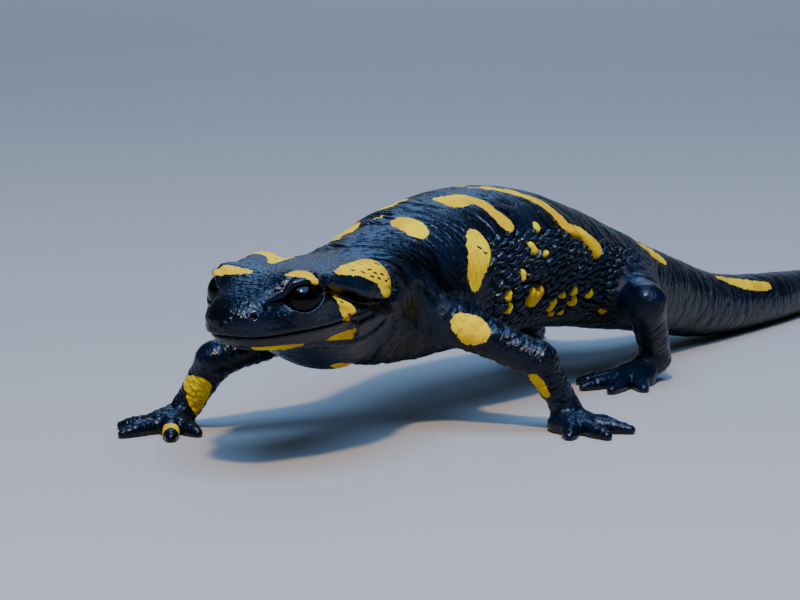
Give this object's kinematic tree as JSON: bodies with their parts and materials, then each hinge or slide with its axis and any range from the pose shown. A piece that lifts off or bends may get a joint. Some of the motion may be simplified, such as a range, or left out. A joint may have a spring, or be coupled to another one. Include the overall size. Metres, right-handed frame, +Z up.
{
  "type": "fire salamander",
  "caption": "Life-size still model of a walking fire salamander, head turned a little, tail laid down, standing on its soles and tail.",
  "frame": {"origin": "middle of the bounding box's base, on the floor", "axes": "+Z up, -Y the way the animal looks, +X its left side"},
  "size_m": [0.0564, 0.1716, 0.0281],
  "materials": {
    "moist_skin": "wet glossy blue-black skin with warm yellow markings",
    "eyeball": "polished near-black eye"
  },
  "bodies": {
    "root": {"head": "moist_skin", "lower_jaw": "moist_skin", "neck": "moist_skin", "trunk_front": "moist_skin", "trunk_middle": "moist_skin", "trunk_rear": "moist_skin", "hips": "moist_skin", "tail_root": "moist_skin", "tail_middle": "moist_skin", "tail_rear": "moist_skin", "tail_tip": "moist_skin", "front_left_upper": "moist_skin", "front_left_lower": "moist_skin", "front_left_foot": "moist_skin", "front_left_toe_1": "moist_skin", "front_left_toe_2": "moist_skin", "front_left_toe_3": "moist_skin", "front_left_toe_4": "moist_skin", "front_right_upper": "moist_skin", "front_right_lower": "moist_skin", "front_right_foot": "moist_skin", "front_right_toe_1": "moist_skin", "front_right_toe_2": "moist_skin", "front_right_toe_3": "moist_skin", "front_right_toe_4": "moist_skin", "hind_left_upper": "moist_skin", "hind_left_lower": "moist_skin", "hind_left_foot": "moist_skin", "hind_left_toe_1": "moist_skin", "hind_left_toe_2": "moist_skin", "hind_left_toe_3": "moist_skin", "hind_left_toe_4": "moist_skin", "hind_left_toe_5": "moist_skin", "hind_right_upper": "moist_skin", "hind_right_lower": "moist_skin", "hind_right_foot": "moist_skin", "hind_right_toe_1": "moist_skin", "hind_right_toe_2": "moist_skin", "hind_right_toe_3": "moist_skin", "hind_right_toe_4": "moist_skin", "hind_right_toe_5": "moist_skin", "eye_left": "eyeball", "eye_right": "eyeball"}
  },
  "joints": []
}
